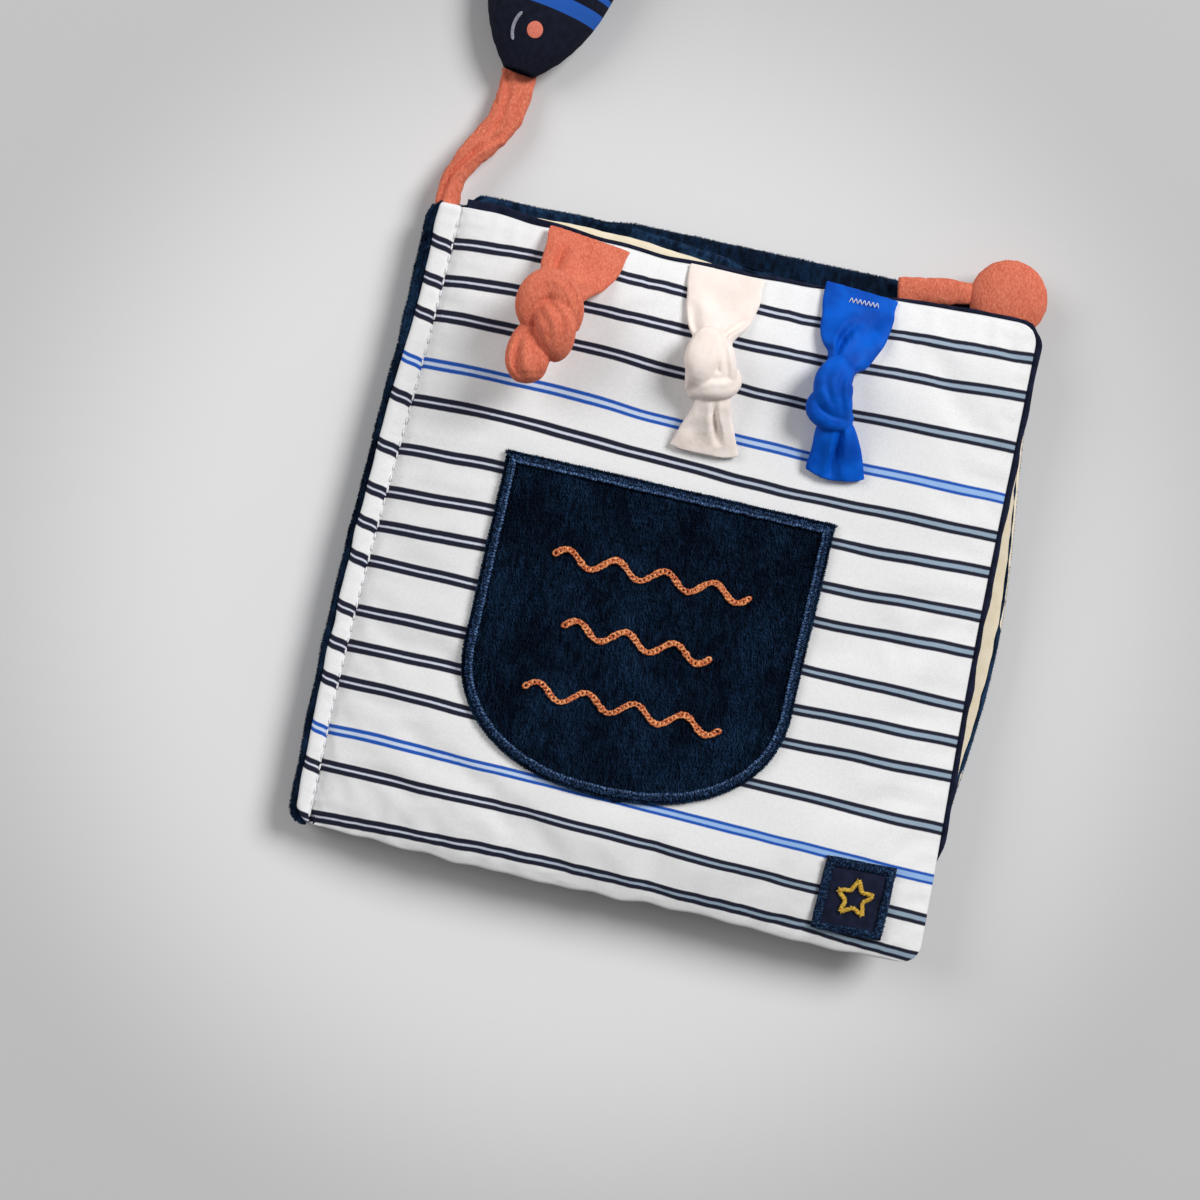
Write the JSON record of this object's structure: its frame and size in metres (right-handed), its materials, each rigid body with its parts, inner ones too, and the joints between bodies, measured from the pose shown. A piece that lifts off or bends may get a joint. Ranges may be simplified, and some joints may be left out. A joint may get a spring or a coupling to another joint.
{
  "type": "cloth activity book",
  "caption": "Square soft cloth book with stuffed leaves sewn along a spine, knotted ribbons on its head edge and a stuffed fish on a strap.",
  "frame": {"origin": "middle of the back cover's flat underside, under the middle of the front cover", "axes": "+X from the spine edge to the free edge, +Y from the foot edge to the head edge where the ribbons and the fish are, +Z out of the front cover"},
  "size_m": [0.1871, 0.3259, 0.0423],
  "materials": {
    "striped_cotton": "woven cotton, matt, with fine doubled stripes",
    "navy_plush": "short soft pile, matt with a faint sheen",
    "navy_knit": "fine knit, matt",
    "cream_cotton": "woven cotton, matt",
    "polyester_wadding": "lofty fibre, matt",
    "coral_muslin": "crinkled double gauze, matt",
    "cream_satin": "satin weave ribbon, soft sheen",
    "blue_satin": "satin weave ribbon, soft sheen",
    "white_thread": "twisted sewing thread",
    "navy_thread": "satin stitch, silky",
    "copper_thread": "chain stitch, silky",
    "yellow_thread": "satin stitch, silky",
    "navy_cotton": "smooth printed cotton, matt",
    "grey_print": "printed line, matt",
    "coral_print": "printed dot, matt"
  },
  "bodies": {
    "binding": {"back_cover_plush": "navy_plush", "back_cover_wadding": "polyester_wadding", "back_cover_lining": "navy_plush", "front_margin": "striped_cotton", "page_margin": "navy_plush", "spine_stitching": "white_thread", "strap_anchor": "coral_muslin", "corner_tab_strap": "coral_muslin", "corner_tab_pad": "coral_muslin"},
    "page": {"page_back_plush": "navy_plush", "page_wadding": "polyester_wadding", "page_front_sheet": "cream_cotton"},
    "front_cover": {"front_cover_lining": "navy_knit", "front_cover_wadding": "polyester_wadding", "front_cover_panel": "striped_cotton", "cover_patch": "navy_plush", "patch_border": "navy_thread", "patch_wave_1": "copper_thread", "patch_wave_2": "copper_thread", "patch_wave_3": "copper_thread", "label_patch": "navy_cotton", "label_border": "navy_thread", "label_star": "yellow_thread"},
    "coral": {"coral_ribbon": "coral_muslin"},
    "cream": {"cream_ribbon": "cream_satin"},
    "blue": {"blue_ribbon": "blue_satin", "blue_ribbon_tack": "white_thread"},
    "strap": {"fish_strap": "coral_muslin"},
    "fish": {"fish_under_panel": "navy_cotton", "fish_stuffing": "polyester_wadding", "fish_top_panel": "navy_cotton", "fish_tail": "navy_cotton", "fish_eye": "coral_print", "fish_gill_line": "grey_print"}
  },
  "joints": [
    {"name": "cover_open", "type": "hinge", "parent": "binding", "child": "front_cover", "pos_m": [-0.08285, 0, 0.0125], "axis": [-0.0255, -0.9997, 0], "range_deg": [0, 150]},
    {"name": "page_turn", "type": "hinge", "parent": "binding", "child": "page", "pos_m": [-0.08285, 0, 0.0092], "axis": [-0.0255, -0.9997, 0], "range_deg": [0, 60]},
    {"name": "coral_flip", "type": "hinge", "parent": "front_cover", "child": "coral", "pos_m": [-0.0432, 0.0898, 0.0195], "axis": [-1, 0, 0], "range_deg": [0, 160]},
    {"name": "cream_flip", "type": "hinge", "parent": "front_cover", "child": "cream", "pos_m": [-0.0032, 0.0885, 0.0192], "axis": [-1, 0, 0], "range_deg": [0, 160]},
    {"name": "blue_flip", "type": "hinge", "parent": "front_cover", "child": "blue", "pos_m": [0.0358, 0.09, 0.0192], "axis": [-1, 0, 0], "range_deg": [0, 160]},
    {"name": "strap_swing", "type": "hinge", "parent": "binding", "child": "strap", "pos_m": [-0.0845, 0.099, 0.00765], "axis": [0, 0, -1], "range_deg": [-45, 55]},
    {"name": "fish_lift", "type": "hinge", "parent": "strap", "child": "fish", "pos_m": [-0.0723, 0.1334, 0.008], "axis": [0.9903, -0.1392, 0], "range_deg": [0, 75]}
  ],
  "couplings": [
    {"joint": "page_turn", "follows": "cover_open", "ratio": 0.4}
  ]
}
